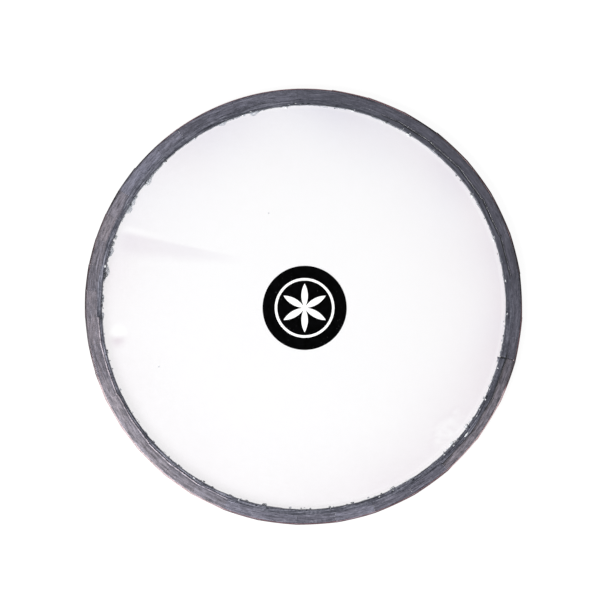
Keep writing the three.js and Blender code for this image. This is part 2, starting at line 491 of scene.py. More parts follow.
def clear_film():
    """Polyester film, glossy everywhere. Its attributes tell where it is greyer, with painted shade
    and highlights in the open film, how dark its folded wall is painted where it is seen edge-on,
    how milky it is, with painted glints and shade in that milkiness, and how warm that milkiness
    looks."""
    n = Nodes("clear_film")
    position = n.position()
    ripple = n.bump(n.noise(position, scale=60, detail=2), distance=0.4 * MM, strength=0.25)
    up = n.add("SeparateXYZ", {0: position}).outputs["Y"]
    hue = n.maths("ADD", n.times(up, 5.0), n.noise(position, scale=16, detail=2))
    cool = n.ramp(n.attribute("grey"), (0.0, WHITE), (1.0, (0.785, 0.768, 0.838)))
    warm_tone = n.ramp(n.attribute("grey"), (0.0, WHITE), (1.0, (0.805, 0.735, 0.785)))
    tint = n.blend(n.grey_ramp(hue, (0.55, 1.0), (1.0, 0.0)), cool, warm_tone)
    # Painted shade on the folded wall: from white, through pink and brown, to black.
    edge_on = n.ramp(
        n.attribute("edge_on"),
        (0.0, WHITE),
        (0.3, (0.8, 0.62, 0.63)),
        (0.75, (0.15, 0.1, 0.115)),
        (1.0, (0.01, 0.008, 0.01)),
    )
    clear = n.see_through(n.blend(1.0, tint, edge_on, blend_type="MULTIPLY"))
    scuffs = n.noise(n.rim_coordinates(along=26, across=1700), roughness=0.7)
    cool_milk = n.ramp(scuffs, (0.4, (0.09, 0.088, 0.12)), (0.6, (0.64, 0.63, 0.78)))
    warm_milk = n.ramp(scuffs, (0.4, (0.11, 0.098, 0.11)), (0.6, (0.7, 0.63, 0.7)))
    milk_colour = n.blend(n.attribute("warm"), cool_milk, warm_milk)
    milk = n.add("BsdfDiffuse", {"Color": milk_colour}).outputs[0]
    body = n.mix_shaders(n.attribute("milk"), clear, milk)
    dulled = n.maths("ADD", n.times(n.attribute("milk"), 1.5), 0.16)
    gloss = n.add("BsdfGlossy", {"Roughness": dulled, "Normal": ripple}).outputs[0]
    return n.output(n.mix_shaders(n.mirror_share(ripple), body, gloss))


def hoop_metal():
    """A dark rolled bar, streaked along its length, with painted shade on its rounded edges where
    its attribute says so.
    """
    n = Nodes("hoop_metal")
    fine = n.noise(n.rim_coordinates(along=11, across=2100), roughness=0.65)
    broad = n.noise(n.rim_coordinates(along=3, across=900), detail=2)
    patches = n.noise(n.position(), scale=70, detail=3)
    grain = n.noise(n.position(), scale=900, detail=3)
    streaks = n.evened(n.weighted((fine, 0.57), (broad, 0.25), (grain, 0.18)), level=0.492)
    colour = n.ramp(
        streaks,
        (0.4, (0.018, 0.019, 0.026)),
        (0.5, (0.092, 0.094, 0.118)),
        (0.6, (0.27, 0.27, 0.322)),
    )
    grime = n.times(n.attribute("grime"), n.grey_ramp(patches, (0.3, 0.7), (0.7, 1.0)))
    return n.output(n.principled({
        "Base Color": n.blend(grime, colour, EDGE_SHADE_COLOUR),
        "Metallic": n.maths("SUBTRACT", 0.5, n.times(grime, 0.5)),
        "Roughness": n.grey_ramp(patches, (0.3, 0.38), (0.7, 0.56)),
        "Specular IOR Level": 0.25,
        "Normal": n.bump(fine, distance=0.06 * MM, strength=0.7),
    }))


def tab_glue_material():
    """Brushed-on adhesive seen through the tabs: cloudy streaks that differ from tab to tab and are
    painted lighter towards one side, and a dark line where it was squeezed out along the tabs' cut
    ends, wet glue darkened with painted shadow."""
    n = Nodes("tab_glue")
    streaks = n.noise(n.rim_coordinates(along=9, across=1600), roughness=0.65)
    clouds = n.noise(n.position(), scale=130)
    grain = n.noise(n.position(), scale=1100, detail=2)
    cover = n.weighted((streaks, 0.67), (clouds, 0.2), (grain, 0.13))
    shade = n.maths("SUBTRACT", n.times(n.attribute("shade"), 0.2), 0.13)
    cover = n.evened(n.maths("ADD", cover, shade), level=0.46)
    alpha = n.grey_ramp(cover, (0.4, 0.02), (0.5, 0.16), (0.6, 0.6))
    cool = n.ramp(cover, (0.38, (0.06, 0.063, 0.084)), (0.62, (0.21, 0.217, 0.28)))
    warm_tone = n.ramp(cover, (0.38, (0.08, 0.071, 0.083)), (0.62, (0.27, 0.24, 0.268)))
    colour = n.blend(n.attribute("warm"), cool, warm_tone)
    # The wet attribute darkens the glue: wet glue in the joint and along the tabs' cut ends, where
    # it is also painted shadow.
    wet = n.attribute("wet")
    paste = n.principled({
        "Base Color": n.blend(wet, colour, WET_AND_SHADOW_COLOUR),
        "Roughness": 0.5,
        "Specular IOR Level": 0.2,
        "Normal": n.bump(streaks, distance=0.08 * MM, strength=0.6),
    })
    alpha = n.maths("MAXIMUM", alpha, n.times(wet, 0.95))
    return n.output(n.mix_shaders(alpha, n.see_through(), paste))


def loose_glue_material():
    """Squeezed-out adhesive with film offcuts in it: cool grey and wet-looking, from nearly clear
    dark crumbs to milky white ones."""
    n = Nodes("loose_glue")
    clouds = n.noise(n.position(), scale=900, detail=3)
    tone = n.maths("ADD", n.attribute("tone"), n.maths("SUBTRACT", clouds, 0.5))
    alpha = n.grey_ramp(tone, (0.0, 0.75), (0.35, 0.3), (0.65, 0.22), (1.0, 0.85))
    colour = n.ramp(
        tone,
        (0.1, (0.018, 0.023, 0.027)),
        (0.45, (0.17, 0.185, 0.2)),
        (0.7, (0.48, 0.49, 0.515)),
        (0.95, (0.78, 0.795, 0.81)),
    )
    wet = n.principled({
        "Base Color": colour,
        "Roughness": 0.16,
        "Normal": n.bump(clouds, distance=0.2 * MM, strength=0.6),
    })
    return n.output(n.mix_shaders(alpha, n.see_through(CLEAR_GLUE_COLOUR), wet))


def ink(name, dark, light, roughness):
    """Screen-printed ink: fine orange peel, faint mottling and the odd pinhole."""
    n = Nodes(name)
    position = n.position()
    mottle = n.noise(position, scale=300, detail=5)
    pinholes = n.noise(position, scale=1400, detail=1)
    dust = n.times(n.grey_ramp(pinholes, (0.76, 0.0), (0.8, 1.0)), 0.4)
    peel = n.noise(position, scale=2200, detail=2)
    return n.output(n.principled({
        "Base Color": n.blend(dust, n.ramp(mottle, (0.35, dark), (0.65, light)), DUST_COLOUR),
        "Roughness": n.grey_ramp(mottle, (0.3, roughness - 0.06), (0.7, roughness + 0.06)),
        "Normal": n.bump(peel, distance=0.02 * MM, strength=0.4),
        "Specular IOR Level": 0.02,
    }))


# --- marks in the film

CREASE_RIM = Vector((-90, 31)) * MM  # it runs from the rim towards the dot
CREASE_TIP = Vector((-27, 22)) * MM
CREASE_HALF_WIDTHS = (6.5 * MM, 2 * MM)
CREASE_HEIGHT = 0.12 * MM
CREASE_GREY = 0.17
CREASE_GLINT = 0.12
DENT = Vector((-94.5, -15.5)) * MM
DENT_RADIUS = 3.2 * MM
DENT_DEPTH = 0.15 * MM
DENT_CONTRAST = 0.75
BLISTER = Vector((74.0, -62.5)) * MM
BLISTER_LENGTH = 11 * MM  # along the rim, from its middle
BLISTER_WIDTH = 5 * MM
BLISTER_HEIGHT = 0.04 * MM
OUTLINE_GREY = 0.05
BLISTER_PALENESS = 0.06
WRINKLE_CONTRAST = 0.16
WRINKLE_FINENESS = 330
RAGGED_FINENESS = 150

DOT_MARGIN = 1.15 * DOT_RADIUS  # inside this radius, and at the bar, the film lies flat
FLAT_TO_WAVY = 20 * MM
WAVY_TO_BAR = 5 * MM
FILM_WAVE_HEIGHT = 0.1 * MM
FILM_WAVE_FINENESS = 22
PATCH_CONTRAST = 0.35
PATCH_FINENESS = 30
PLAIN_GREY = 0.02
# RIM_GREY is painted shade towards the rim.
RIM_GREY = 0.27
RIM_GREY_POWER = 4.5
BRIGHT_LINE = HOOP_INNER - 1.1 * MM  # a painted highlight along the bead's toe
BRIGHT_LINE_WIDTH = 0.8 * MM
BRIGHT_LINE_STRENGTH = 0.1


def crease(x, y):
    """A shallow wedge, sharp along its upper side. Returns its height and how grey it looks:
    painted shade over the wedge and a painted glint along its sharp side.
    """
    run = CREASE_TIP - CREASE_RIM
    along = (Vector((x, y)) - CREASE_RIM).dot(run) / run.length_squared
    off = ((y - CREASE_RIM.y) * run.x - (x - CREASE_RIM.x) * run.y) / run.length
    across = off / mix(*CREASE_HALF_WIDTHS, clamp(along))
    fade = rise(along, -0.12, 0.15) * fall(along, 1.05, 0.6)
    body = fall(across, 1.09, 0.45) * rise(across, -1.4, 1.5)
    glint = peak(across, 1.25, 0.25) * max(0.0, 1 - 3 * along)
    return CREASE_HEIGHT * fade * body, fade * (CREASE_GREY * body - CREASE_GLINT * glint)


def dent(x, y):
    """A small dimple with a painted highlight on its upper half and painted shade on its lower
    half.
    """
    spot = (Vector((x, y)) - DENT) / DENT_RADIUS
    strength = exp(-spot.length_squared)
    return -DENT_DEPTH * strength, -DENT_CONTRAST * spot.y * strength


def blister(x, y):
    """A pale patch by the rim where the film has come away, with a dull outline and wrinkles
    painted lighter and darker as their light and shade.
    """
    spot = Vector((x, y)) - BLISTER
    outward = BLISTER.normalized()
    across = spot.dot(outward) / BLISTER_WIDTH
    along = (spot.y * outward.x - spot.x * outward.y) / BLISTER_LENGTH
    reach = hypot(across, along) + 0.5 * bumpy(x, y, RAGGED_FINENESS, layer=6.0)
    strength = fall(reach, 1.1, 0.5)
    outline = peak(reach, 1.15, 0.18) * fall(across, 0.6, 1.0)
    wrinkle = bumpy(x, y, WRINKLE_FINENESS, layer=2.0)
    pale = strength * (BLISTER_PALENESS + WRINKLE_CONTRAST * wrinkle)
    return BLISTER_HEIGHT * strength * (1 + wrinkle), OUTLINE_GREY * outline - pale


def disc_shape(x, y):
    """The disc's height over flat, and how grey it looks. The grey is painted shade that deepens
    towards the rim, most on the side away from the brighter light, with a painted highlight along
    the bead's toe and the marks' painted light and shade."""
    radius = hypot(x, y)
    wavy = rise(radius, DOT_MARGIN, FLAT_TO_WAVY) * fall(radius, HOOP_INNER, WAVY_TO_BAR)
    height = FILM_WAVE_HEIGHT * (0.5 + 0.5 * bumpy(x, y, FILM_WAVE_FINENESS, layer=4.0))
    patch = 1 + PATCH_CONTRAST * bumpy(x, y, PATCH_FINENESS, layer=9.0)
    side = 0.45 + dull_side(atan2(y, x))
    grey = PLAIN_GREY + RIM_GREY * side * patch * (radius / HOOP_INNER) ** RIM_GREY_POWER
    grey -= BRIGHT_LINE_STRENGTH * side * peak(radius, BRIGHT_LINE, BRIGHT_LINE_WIDTH)
    for mark in (crease, dent, blister):
        higher, duller = mark(x, y)
        height += higher
        grey += duller
    return wavy * height, max(0.0, grey)


# --- film

TAB_COLUMNS = 12
SLIT = radians(0.11)
CUT_STRIP = radians(0.06)  # a narrow column along each cut keeps it crisp
FOLD = 0.6 * MM
RIM_START = HOOP_INNER - 4 * MM
RIM_END = HOOP_INNER + 1 * MM
DISC_ROWS = 48
RIM_ROWS = 8
OUTER_ROWS = 3
FOOT_TURNS = (30, 60, 90)
WALL_SHARES = (0.25, 0.5, 0.75, 1.0)
CREST_TURNS = (25, 50, 75, 90)
TAB_SHARES = (0.2, 0.4, 0.6, 0.74, 0.82, 0.88, 0.94, 1.0)
BEHIND_START = 0.8
END_START = 0.9

# How dark the folded wall is painted, as it looks from above, where 1 is black: painted shade.
WALL_DARKNESS = 0.75
TIGHT_DARKNESS = 0.5
LOOSE_DARKNESS = 0.3
BLACK_CREST_POWER = 0.3  # keeps the painted shade on the crest further in along a black edge

# How milky the film looks, where 1 is opaque. Part of this milkiness is painted light: glints on
# cut ends and cut sides, a dark line just behind the end glints, and less of it on the dull side.
LEAST_MILK = 0.015
SHADE_MILK = 0.1
LOOSE_MILK = 0.07
CUT_SIDE_MILK = 0.05
SIDE_GLINT_MILK = 0.25
CUT_END_MILK_AND_GLINT = (0.06, 0.8)  # plain, and a painted glint where it would catch the light
CALM_MILK_LOSS = 0.6
BEHIND_MILK_LOSS = 0.8  # a painted dark line just behind a cut end with a painted glint
DISC_MILK = 0.02
HIDDEN_GREY = 0.1  # under the bar and in the tabs


def tab_profile(tab, angle):
    """The film from the foot of its folded wall to the tab's end, at one angle: for each point
    its radius, its height, how dark its painted shade is where it is seen edge-on, and how milky it
    is, with painted glints and shade in that milkiness."""
    half = FILM / 2
    wall = fold_radius(angle) - half
    crest = tab.fold(angle) - half
    top = HEAD_TOP - half
    black_edge = within(BLACK_EDGE_ARCS, angle, soft=10)
    dark = mix(WALL_DARKNESS, TIGHT_DARKNESS, window(angle, *TIGHT_ARC, soft=10))
    dark = mix(mix(dark, 1.0, black_edge), LOOSE_DARKNESS, loose(angle))
    crest_power = mix(1.0, BLACK_CREST_POWER, black_edge)
    points = []
    for turn in FOOT_TURNS:
        a = radians(turn)
        radius = wall - FOLD + FOLD * sin(a)
        points.append((radius, half + FOLD * (1 - cos(a)), dark * sin(a) ** 2, 0.0))
    milk = LEAST_MILK + SHADE_MILK * tab.shade * (1 - CALM_MILK_LOSS * calm(angle))
    milk += LOOSE_MILK * loose(angle)
    for share in WALL_SHARES:
        height = mix(half + FOLD, top - FOLD, share)
        points.append((mix(wall, crest, smooth(share)), height, dark, milk * share))
    # On the slit columns the milkiness also stands for a painted glint along the cut sides.
    if angle in (tab.start + SLIT / 2, tab.end - SLIT / 2):
        milk += CUT_SIDE_MILK + SIDE_GLINT_MILK * window(angle, *SIDE_GLINT, soft=20)
    for turn in CREST_TURNS:
        a = radians(turn)
        radius = crest - FOLD + FOLD * cos(a)
        edge_on = dark * cos(a) ** crest_power
        points.append((radius, top - FOLD + FOLD * sin(a), edge_on, milk))
    end = tab.cut_end(angle)
    # At the cut end the milkiness is a painted glint in the glint arc, with a painted dark line
    # just behind it.
    bright = window(angle, *CUT_GLINT, soft=12)
    for share in TAB_SHARES:
        level = milk
        if share > BEHIND_START:
            level = milk * (1 - BEHIND_MILK_LOSS * bright)
        if share > END_START:
            level = mix(*CUT_END_MILK_AND_GLINT, bright)
        points.append((mix(crest - FOLD, end, share), top, 0.0, level))
    return points


def film_columns():
    """The angles to draw the film at, each with its tab, and which columns a slit follows."""
    columns, slits = [], set()
    for tab in TABS:
        start, end = tab.start + SLIT / 2, tab.end - SLIT / 2
        inner_angles = np.linspace(start + CUT_STRIP, end - CUT_STRIP, TAB_COLUMNS - 1)
        columns += [(tab, angle) for angle in (start, *inner_angles, end)]
        slits.add(len(columns) - 1)
    return columns, slits


def disc_radii(angle):
    """The radii to draw the disc at, from near its middle to the foot of its wall."""
    wall_foot = fold_radius(angle) - FILM / 2 - FOLD
    inner_rows = [RIM_START * step / DISC_ROWS for step in range(1, DISC_ROWS + 1)]
    rim_rows = list(np.linspace(RIM_START, RIM_END, RIM_ROWS + 1)[1:])
    outer_rows = list(np.linspace(RIM_END, wall_foot, OUTER_ROWS + 1)[1:])
    return inner_rows + rim_rows + outer_rows


def build_film(material):
    columns, slits = film_columns()
    vertices = [(0, 0, FILM / 2)]
    looks = [(PLAIN_GREY, 0.0, 0.0, 0.0)]  # grey, edge_on, milk, warm
    for tab, angle in columns:
        for radius in disc_radii(angle):
            x, y, z = polar(radius, angle, FILM / 2)
            higher, grey = disc_shape(x, y) if radius < HOOP_INNER else (0.0, HIDDEN_GREY)
            vertices.append((x, y, z + higher))
            looks.append((grey, 0.0, DISC_MILK, 0.0))
        for radius, height, edge_on, milk in tab_profile(tab, angle):
            vertices.append(polar(radius, angle, height))
            looks.append((HIDDEN_GREY, edge_on, milk, warm(tab.middle)))

    count = len(columns)
    rows = (len(vertices) - 1) // count
    slit_row = rows - len(TAB_SHARES) - len(CREST_TURNS) - 1
    faces = []
    for column in range(count):
        a, b = 1 + column * rows, 1 + (column + 1) % count * rows
        faces.append((0, a, b))
        for row in range(rows - 1):
            if column not in slits or row < slit_row:
                faces.append((a + row, a + row + 1, b + row + 1, b + row))
    attributes = dict(zip(("grey", "edge_on", "milk", "warm"), zip(*looks)))
    obj = make_piece("film", "membrane", "clear_film", vertices, faces, material, attributes)
    thickness = obj.modifiers.new("thickness", "SOLIDIFY")
    thickness.thickness = FILM
    thickness.offset = 0


# --- hoop

HOOP_STATIONS = 900
EDGE = 0.45 * MM
EDGE_STEPS = 5
TOP_SHARES = (0.8, 0.6, 0.4, 0.2)
# Painted shade on the bar's rounded edges: how far it fades onto the top, and how strong it is.
EDGE_SHADE_FADE = 0.35 * MM
DULL_SIDE_EDGE_SHADE = 0.7
UNEVEN_EDGE_SHADE = 0.3
OUTER_EDGE_SHADE = 0.85
RAGGEDNESS = 0.06 * MM
JOINT_GAP = 0.6 * MM
BURR = 1.0 * MM
BURR_LENGTH = radians(1.6)


def bar_section():
    """A flat bar's section with rounded edges. Each point has its share of the way across, an
    offset from there, its height, and 1 on the rounded edges, where painted shade goes."""
    corners = [
        (0, EDGE, HOOP_BOTTOM + EDGE, 180),
        (1, -EDGE, HOOP_BOTTOM + EDGE, 270),
        (1, -EDGE, HOOP_TOP - EDGE, 0),
        (0, EDGE, HOOP_TOP - EDGE, 90),
    ]
    points = []
    for share, offset, height, start in corners:
        for step in range(EDGE_STEPS + 1):
            a = radians(start + 90 * step / EDGE_STEPS)
            points.append((share, offset + EDGE * cos(a), height + EDGE * sin(a), 1.0))
        if start == 0:
            points.append((1, -EDGE - EDGE_SHADE_FADE, HOOP_TOP, 0.0))
            points += [(across, 0.0, HOOP_TOP, 0.0) for across in TOP_SHARES]
            points.append((0, EDGE + EDGE_SHADE_FADE, HOOP_TOP, 0.0))
    return points


def build_hoop(material):
    """The bar, rolled round once, with a gap at its joint and a burr inside its last end."""
    start = radians(JOINT_ANGLE) + JOINT_GAP / HOOP_OUTER / 2
    end = start + TAU - JOINT_GAP / HOOP_OUTER
    section = bar_section()
    size = len(section)
    vertices, grime, calms, faces = [], [], [], []
    for station in range(HOOP_STATIONS + 1):
        angle = mix(start, end, station / HOOP_STATIONS)
        burr = BURR * smooth((angle - end) / BURR_LENGTH + 1)
        inner = hoop_inner(angle) - burr + RAGGEDNESS * wave(angle, *BAR_RAGGED_WAVE)
        outer = hoop_outer(angle)
        # Painted shade on the inner rounded edge, deepest on the dull side and uneven round the
        # rim, and on the outer edge along the black fold lines.
        uneven = UNEVEN_EDGE_SHADE * wave(angle, *EDGE_SHADE_WAVE)
        inner_edge_shade = clamp(DULL_SIDE_EDGE_SHADE * dull_side(angle) + uneven)
        outer_edge_shade = OUTER_EDGE_SHADE * within(BLACK_EDGE_ARCS, angle, soft=10)
        for share, offset, height, on_rounded_edge in section:
            vertices.append(polar(mix(inner, outer, share) + offset, angle, height))
            grime.append(on_rounded_edge * mix(inner_edge_shade, outer_edge_shade, share))
            calms.append(calm(angle))
    for station in range(HOOP_STATIONS):
        faces += side_faces(station * size, (station + 1) * size, size)
    faces.append(tuple(range(size))[::-1])
    last = HOOP_STATIONS * size
    faces.append(tuple(range(last, last + size)))
    attributes = {"grime": grime, "calm": calms}
    make_piece("hoop_bar", "hoop", "hoop_metal", vertices, faces, material, attributes)


# --- glue under the tabs and the bar

GLUE_STATIONS = 1440
BITE = 0.04 * MM  # how far glue reaches into what it sticks to
TAB_CLEARANCE = 0.05 * MM  # between the glue's crest and the film over it
CREST_WAVER = 0.015 * MM
LEAST_SQUEEZE = 0.2 * MM
MORE_SQUEEZE = 0.3 * MM
WET_SQUEEZE = 0.35 * MM
WET_LINE = 0.15 * MM  # how far in under the tabs the dark line of wet glue and painted shadow stays full
WET_FADE = 0.6 * MM
LEAST_WET = 0.15
DULL_SIDE_SHADOW = 0.25
UNEVEN_WET = 0.5
ARC_WET = 0.8
PATCH_WET = 0.5
DRYNESS = 0.4
HOOP_GLUE_WAVER = 0.3 * MM
HOOP_GLUE_SHADE = 0.5
JOINT_GLUE_SHARE = 0.96  # of the joint's width
JOINT_GLUE_DROP = 0.2 * MM  # below the bar's top


def tab_at(angle):
    for tab in TABS:
        if (angle - tab.start) % TAU < tab.end - tab.start:
            return tab
    return TABS[0]


def wet_and_shadow(angle):
    """How dark the glue along the tabs' cut ends looks, 0 to 1: wet glue and painted shadow of the
    cut ends, more on the dull side.
    """
    wet = LEAST_WET + DULL_SIDE_SHADOW * dull_side(angle) + UNEVEN_WET * wave(angle, *WET_WAVE)
    wet += ARC_WET * sum(window(angle, start, end) for start, end in WET_ARCS)
    wet += PATCH_WET * window(angle, *WET_PATCH)
    return clamp(wet - DRYNESS * window(angle, *DRY_ARC))


def build_tab_glue(material):
    """The layer between tabs and hoop, squeezed out a little past the tabs' cut ends."""
    bottom = HOOP_TOP - BITE
    top = HEAD_TOP - FILM - TAB_CLEARANCE
    shades, warmths, calms = [], [], []

    def section(angle):
        tab = tab_at(angle)
        end = tab.cut_end(tab.start + (angle - tab.start) % TAU)
        squeeze = LEAST_SQUEEZE + MORE_SQUEEZE * max(0.0, 0.5 + 0.8 * wave(angle, *SQUEEZE_WAVE))
        squeeze += WET_SQUEEZE * window(angle, *WET_ARCS[1], soft=12)
        wet = wet_and_shadow(angle)
        outer = hoop_outer(angle) - EDGE
        crest = top + CREST_WAVER * wave(angle, *CREST_WAVE)
        points = [
            (end - squeeze, bottom, wet),
            (outer, bottom, 0.0),
            (outer, crest, 0.0),
            (mix(end, outer, 0.35), crest, 0.0),
            (end + WET_FADE, crest, wet * 0.8),
            (end + WET_LINE, crest, wet),
            (end - squeeze * 0.8, mix(bottom, top, 0.5), wet),
        ]
        shades.extend([tab.shade] * len(points))
        warmths.extend([warm(tab.middle)] * len(points))
        calms.extend([calm(angle)] * len(points))
        return points

    vertices, wet, faces = swept_ring(section, GLUE_STATIONS)
    attributes = {"wet": wet, "shade": shades, "warm": warmths, "calm": calms}
    make_piece("tab_glue_layer", "tab_glue", "glue", vertices, faces, material, attributes)


def joint_filling():
    """The block of glue that fills the gap between the bar's ends nearly to the top."""
    joint = radians(JOINT_ANGLE)
    half = JOINT_GLUE_SHARE / 2 * JOINT_GAP / HOOP_OUTER
    inner, outer = hoop_inner(joint) + EDGE, hoop_outer(joint) - EDGE
    corners = []
    for height in (FILM, HOOP_TOP - JOINT_GLUE_DROP):
        for radius, side in ((inner, -half), (outer, -half), (outer, half), (inner, half)):
            corners.append(polar(radius, joint + side, height))
    return corners, [(0, 3, 2, 1), (4, 5, 6, 7)] + side_faces(0, 4, 4)


def build_hoop_glue(material):
    """The layer between film and hoop, with the filling between the bar's ends."""
    def section(angle):
        inner = hoop_inner(angle) + EDGE + HOOP_GLUE_WAVER * wave(angle, *HOOP_GLUE_WAVE)
        outer = hoop_outer(angle) - EDGE
        bottom, top = FILM - BITE, HOOP_BOTTOM + BITE
        points = ((inner, bottom), (outer, bottom), (outer, top), (inner, top))
        return [(*point, HOOP_GLUE_SHADE) for point in points]

    vertices, shade, faces = swept_ring(section, GLUE_STATIONS)
    corners, sides = joint_filling()
    faces += [tuple(len(vertices) + i for i in side) for side in sides]
    wet = [0.0] * len(vertices) + [1.0] * len(corners)
    shade += [0.0] * len(corners)
    vertices += corners
    attributes = {"wet": wet, "shade": shade}
    make_piece("hoop_glue_layer", "hoop_glue", "glue", vertices, faces, material, attributes)


# --- bead, lumps, crumbs and scraps

# The bead: its fatness is 0 to 1, and 1 fills the CAD's bead.
LEAST_FAT = 0.3
UNEVEN_FAT = 0.5
SWELLING = 0.4
ARC_FAT = 0.3
BRIGHT_SIDE_FAT = 0.4  # its share opposite the dull side
THINNEST_REACH = 0.15
THINNEST_HEIGHT = 0.25
BEAD_FOOTING = 0.2 * MM  # how far the bead reaches into the bar
BEAD_SAG = 0.35
BEAD_TONE = 0.72
DULL_DARKER = 0.27
UNEVEN_TONE = 0.25
TOE_LIGHTER = 0.2

LUMP_RINGS = 5
LUMP_SIDES = 8
LUMP_CENTRE = 0.45  # of its height
LUMP_ROUNDNESS = 0.55
LUMP_CRUMPLE = 0.9
LUMP_FINENESS = 1.7
LUMP_SEED_STEP = 5.3
FOOT_LUMPS = 170  # small ones on the film, along the bead
TOP_LUMPS = 80  # small ones on the bar, along its inner edge
LUMP_SIZES = ((0.12, 0.42), (0.25, 0.8), (0.3, 0.8))  # across, along and up, in mm
BIG_EXTRA = (0.4, 0.7, 0.3)
FOOT_INSETS = (-0.2, 0.6)  # in mm from the bar's inner edge
TOP_INSETS = (0.1, 0.9)
TOP_HEIGHTS = (0.12, 0.28)
BAR_FLOOR = HOOP_TOP - 0.02 * MM
FLAKE_SIZE = (0.35 * MM, 1.9 * MM, 0.3 * MM)
FLAKE_INSET = 1.9 * MM
# the flake's bright tone is a painted highlight
FLAKE_HIGHLIGHT_TONE = 1.3
BIG_LUMP_TONE = 0.95
CRUMBS = [Vector((-17.8, 47.1)) * MM, Vector((-73.6, -30.9)) * MM]  # specks on the open film
CRUMB_SIZE = (0.4 * MM, 0.25 * MM, 0.1 * MM)
CRUMB_TONE = 0.6
CRUMB_FLOOR = FILM + 0.12 * MM  # the open film rises and falls a little
SMALL_SCRAPS = 16
SCRAP_LIFT = 0.15 * MM
SCRAP_THICKNESS = 0.12 * MM
SCRAP_FOOTING = 0.1 * MM
SCRAP_CURL = 0.06
RANDOM_SEED = 4


class Heap:
    """Closed shapes gathered into one mesh, each vertex with its tone."""

    def __init__(self, vertices, tones, faces):
        self.vertices = vertices
        self.tones = tones
        self.faces = faces

    def add(self, shape, sides, tone):
        self.faces += [tuple(len(self.vertices) + i for i in side) for side in sides]
        self.vertices += shape
        self.tones += [tone] * len(shape)


def bead_section(angle):
    fat = LEAST_FAT + UNEVEN_FAT * wave(angle, *BEAD_WAVE)
    fat += SWELLING * max(0, wave(angle, *BEAD_SWELL_WAVE))
    fat += ARC_FAT * window(angle, *FAT_ARC, soft=20)
    fat = clamp(fat * mix(BRIGHT_SIDE_FAT, 1, dull_side(angle)))
    # Painted shade: the bead is darker on the dull side.
    tone = BEAD_TONE - DULL_DARKER * dull_side(angle) + UNEVEN_TONE * wave(angle, *BEAD_TONE_WAVE)
    wall = hoop_inner(angle) + BEAD_FOOTING
    toe = wall - BEAD_REACH * mix(THINNEST_REACH, 1, fat)
    crest = FILM + BEAD_HEIGHT * mix(THINNEST_HEIGHT, 1, fat)
    # Painted light and shade: lighter at the toe, darker against the wall.
    points = [(toe, FILM - BITE, tone + TOE_LIGHTER)]
    for step in (0.75, 0.5, 0.25):
        height = mix(FILM, mix(crest, FILM, step), 1 - BEAD_SAG * sin(pi * step))
        points.append((mix(wall, toe, step), height, tone))
    points.append((wall, crest, tone - TOE_LIGHTER))
    points.append((wall, FILM - BITE, tone - TOE_LIGHTER))
    return points


def lump(radius, angle, floor, size, seed):
    """A closed, crumpled blob on a floor at the given height. size is its half-width across the
    rim, its half-length along it, and its height."""
    width, length, tall = size
    centre = polar(radius, angle, floor + tall * LUMP_CENTRE)
    points = [(0, 0, -1)]
    for ring in range(1, LUMP_RINGS):
        tilt = pi * ring / LUMP_RINGS - pi / 2
        points += [polar(cos(tilt), TAU * side / LUMP_SIDES, sin(tilt))
                   for side in range(LUMP_SIDES)]
    points.append((0, 0, 1))
    vertices = []
    for x, y, z in points:
        depth = z * LUMP_FINENESS + LUMP_SEED_STEP * seed
        swell = 1 + LUMP_CRUMPLE * bumpy(x, y, LUMP_FINENESS, depth)
        across, along = x * width * swell, y * length * swell
        height = centre[2] + LUMP_ROUNDNESS * z * tall * swell
        vertices.append((
            centre[0] + across * cos(angle) - along * sin(angle),
            centre[1] + across * sin(angle) + along * cos(angle),
            min(floor + tall, max(floor, height)),
        ))
    faces = []
    top = 1 + (LUMP_RINGS - 2) * LUMP_SIDES
    for side in range(LUMP_SIDES):
        after = (side + 1) % LUMP_SIDES
        faces.append((0, 1 + after, 1 + side))
        for ring in range(LUMP_RINGS - 2):
            a, b = 1 + ring * LUMP_SIDES, 1 + (ring + 1) * LUMP_SIDES
            faces.append((a + side, a + after, b + after, b + side))
        faces.append((top + side, top + after, len(points) - 1))
    return vertices, faces


def random_lump(angle, kind, random):
    """A lump's radius, floor, size and tone, partly by chance."""
    big = kind == "big"
    spans = zip(LUMP_SIZES, BIG_EXTRA)
    width, length, height = [(random.uniform(*span) + extra * big) * MM for span, extra in spans]
    edge = hoop_inner(angle)
    radius = edge - random.uniform(*FOOT_INSETS) * MM
    tone = BIG_LUMP_TONE if big else random.uniform(0, 1) ** 0.8 * 1.15 - 0.15
    if kind == "flake":
        return edge + FLAKE_INSET, BAR_FLOOR, FLAKE_SIZE, FLAKE_HIGHLIGHT_TONE
    if kind == "top":
        height = random.uniform(*TOP_HEIGHTS) * MM
        radius = edge + random.uniform(*TOP_INSETS) * MM
        return radius, BAR_FLOOR, (width, length, height), tone
    return radius, FILM, (width, length, height), tone


def add_lumps(heap, random):
    spots = [(radians(angle), "big") for angle in BIG_LUMPS]
    spots += [(random.uniform(0, TAU), "foot") for _ in range(FOOT_LUMPS)]
    spots += [(random.uniform(0, TAU), "top") for _ in range(TOP_LUMPS)]
    spots += [(radians(angle + random.uniform(-1, 1)), "top") for angle in BIG_LUMPS]
    spots += [(radians(FLAKE_ANGLE), "flake")]
    for seed, (angle, kind) in enumerate(spots):
        radius, floor, size, tone = random_lump(angle, kind, random)
        heap.add(*lump(radius, angle, floor, size, seed), tone)


def add_crumbs(heap):
    for spot in CRUMBS:
        angle = atan2(spot.y, spot.x)
        seed = len(heap.tones)
        heap.add(*lump(spot.length, angle, CRUMB_FLOOR, CRUMB_SIZE, seed), CRUMB_TONE)


